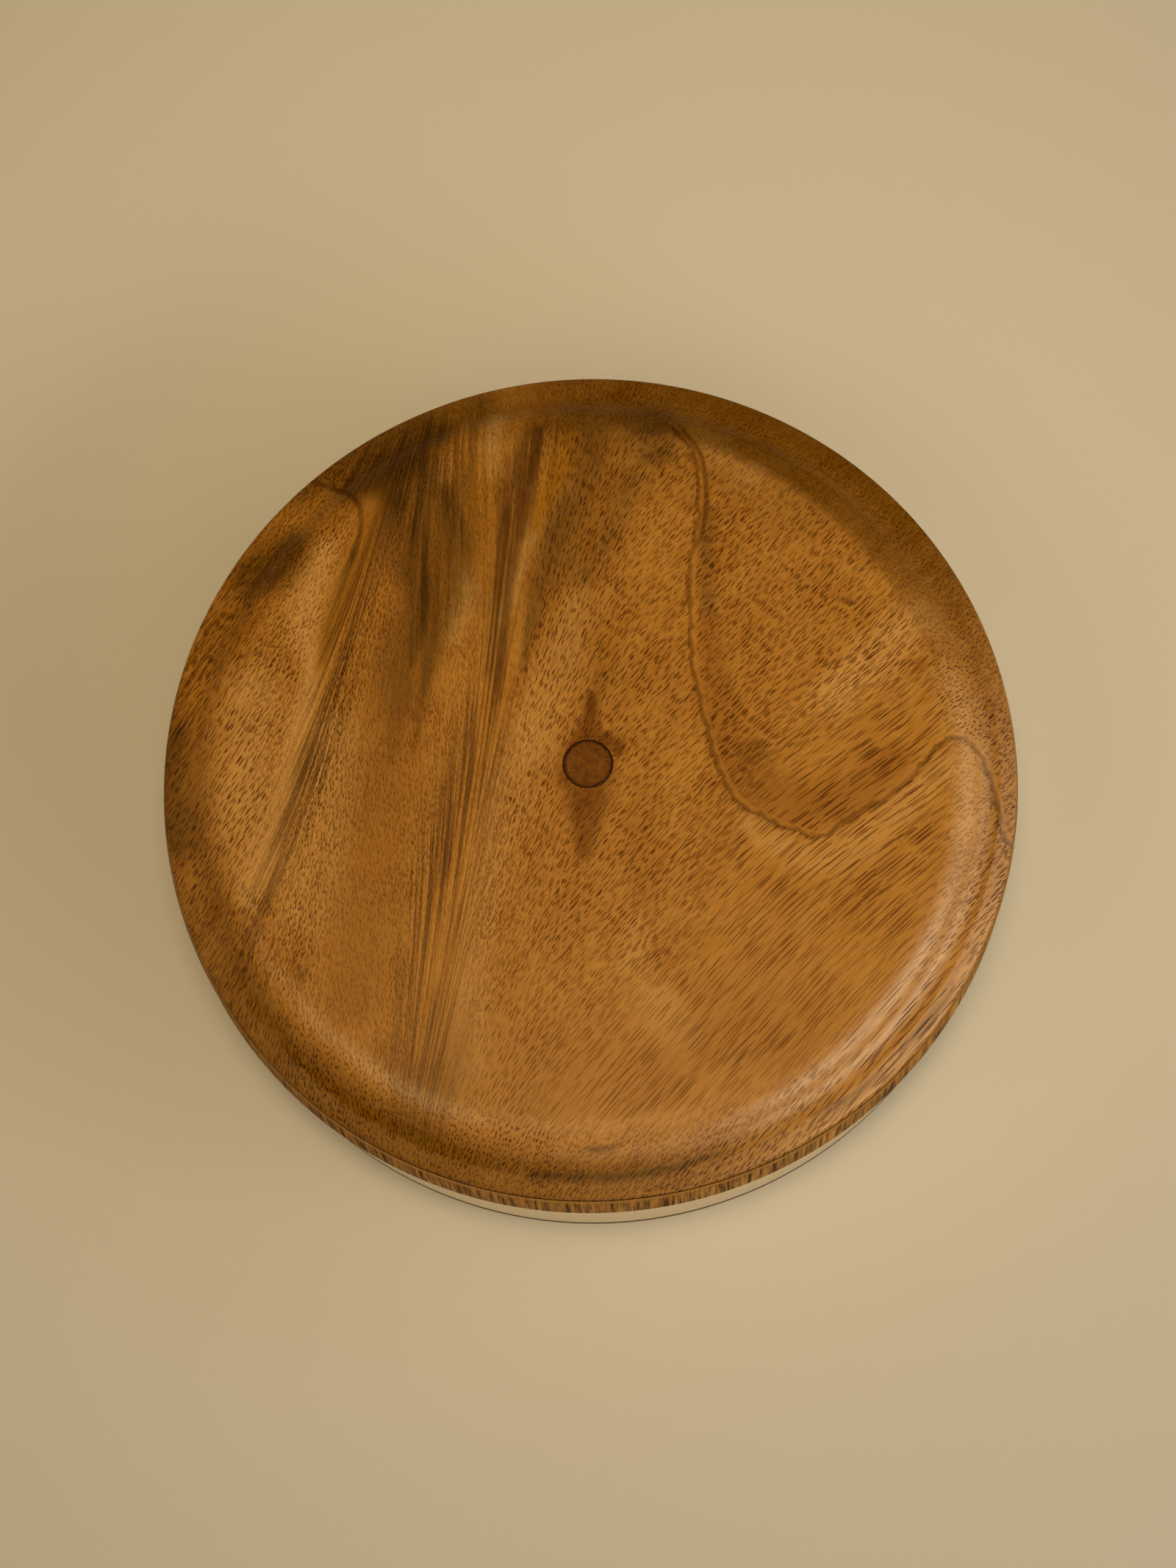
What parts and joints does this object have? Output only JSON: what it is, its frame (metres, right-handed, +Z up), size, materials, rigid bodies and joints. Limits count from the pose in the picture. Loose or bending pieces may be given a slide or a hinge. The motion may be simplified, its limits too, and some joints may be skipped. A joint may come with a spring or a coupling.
{
  "type": "roti box",
  "caption": "Low round box with a domed turned-wood lid that lifts off a double-walled brushed steel bowl, for keeping flatbread warm.",
  "frame": {"origin": "on the floor, on the axis that every piece is turned about", "axes": "+Z up along the axis of the lid and the bowl; the lid's grain runs roughly along Y"},
  "size_m": [0.2286, 0.2286, 0.0759],
  "materials": {
    "crown_wood": "satin",
    "plug_wood": "satin",
    "collar_wood": "satin",
    "seal_silicone": "matte",
    "bowl_steel": "satin",
    "shell_steel": "satin",
    "core_foam": "matte",
    "base_steel": "satin",
    "foot_silicone": "matte"
  },
  "bodies": {
    "box": {"inner_bowl": "bowl_steel", "outer_shell": "shell_steel", "insulation_core": "core_foam", "base_plate": "base_steel", "foot_ring": "foot_silicone"},
    "lid_seal": {"lid_seal_ring": "seal_silicone"},
    "lid": {"lid_crown": "crown_wood", "centre_plug": "plug_wood", "lid_collar": "collar_wood"}
  },
  "joints": [
    {"name": "lid_lift", "type": "slide", "parent": "box", "child": "lid_seal", "axis": [0, 0, 1], "range_m": [0, 0.12]},
    {"name": "lid_turn", "type": "hinge", "parent": "lid_seal", "child": "lid", "pos_m": [0, 0, 0.0608], "axis": [0, 0, 1], "continuous": true}
  ]
}
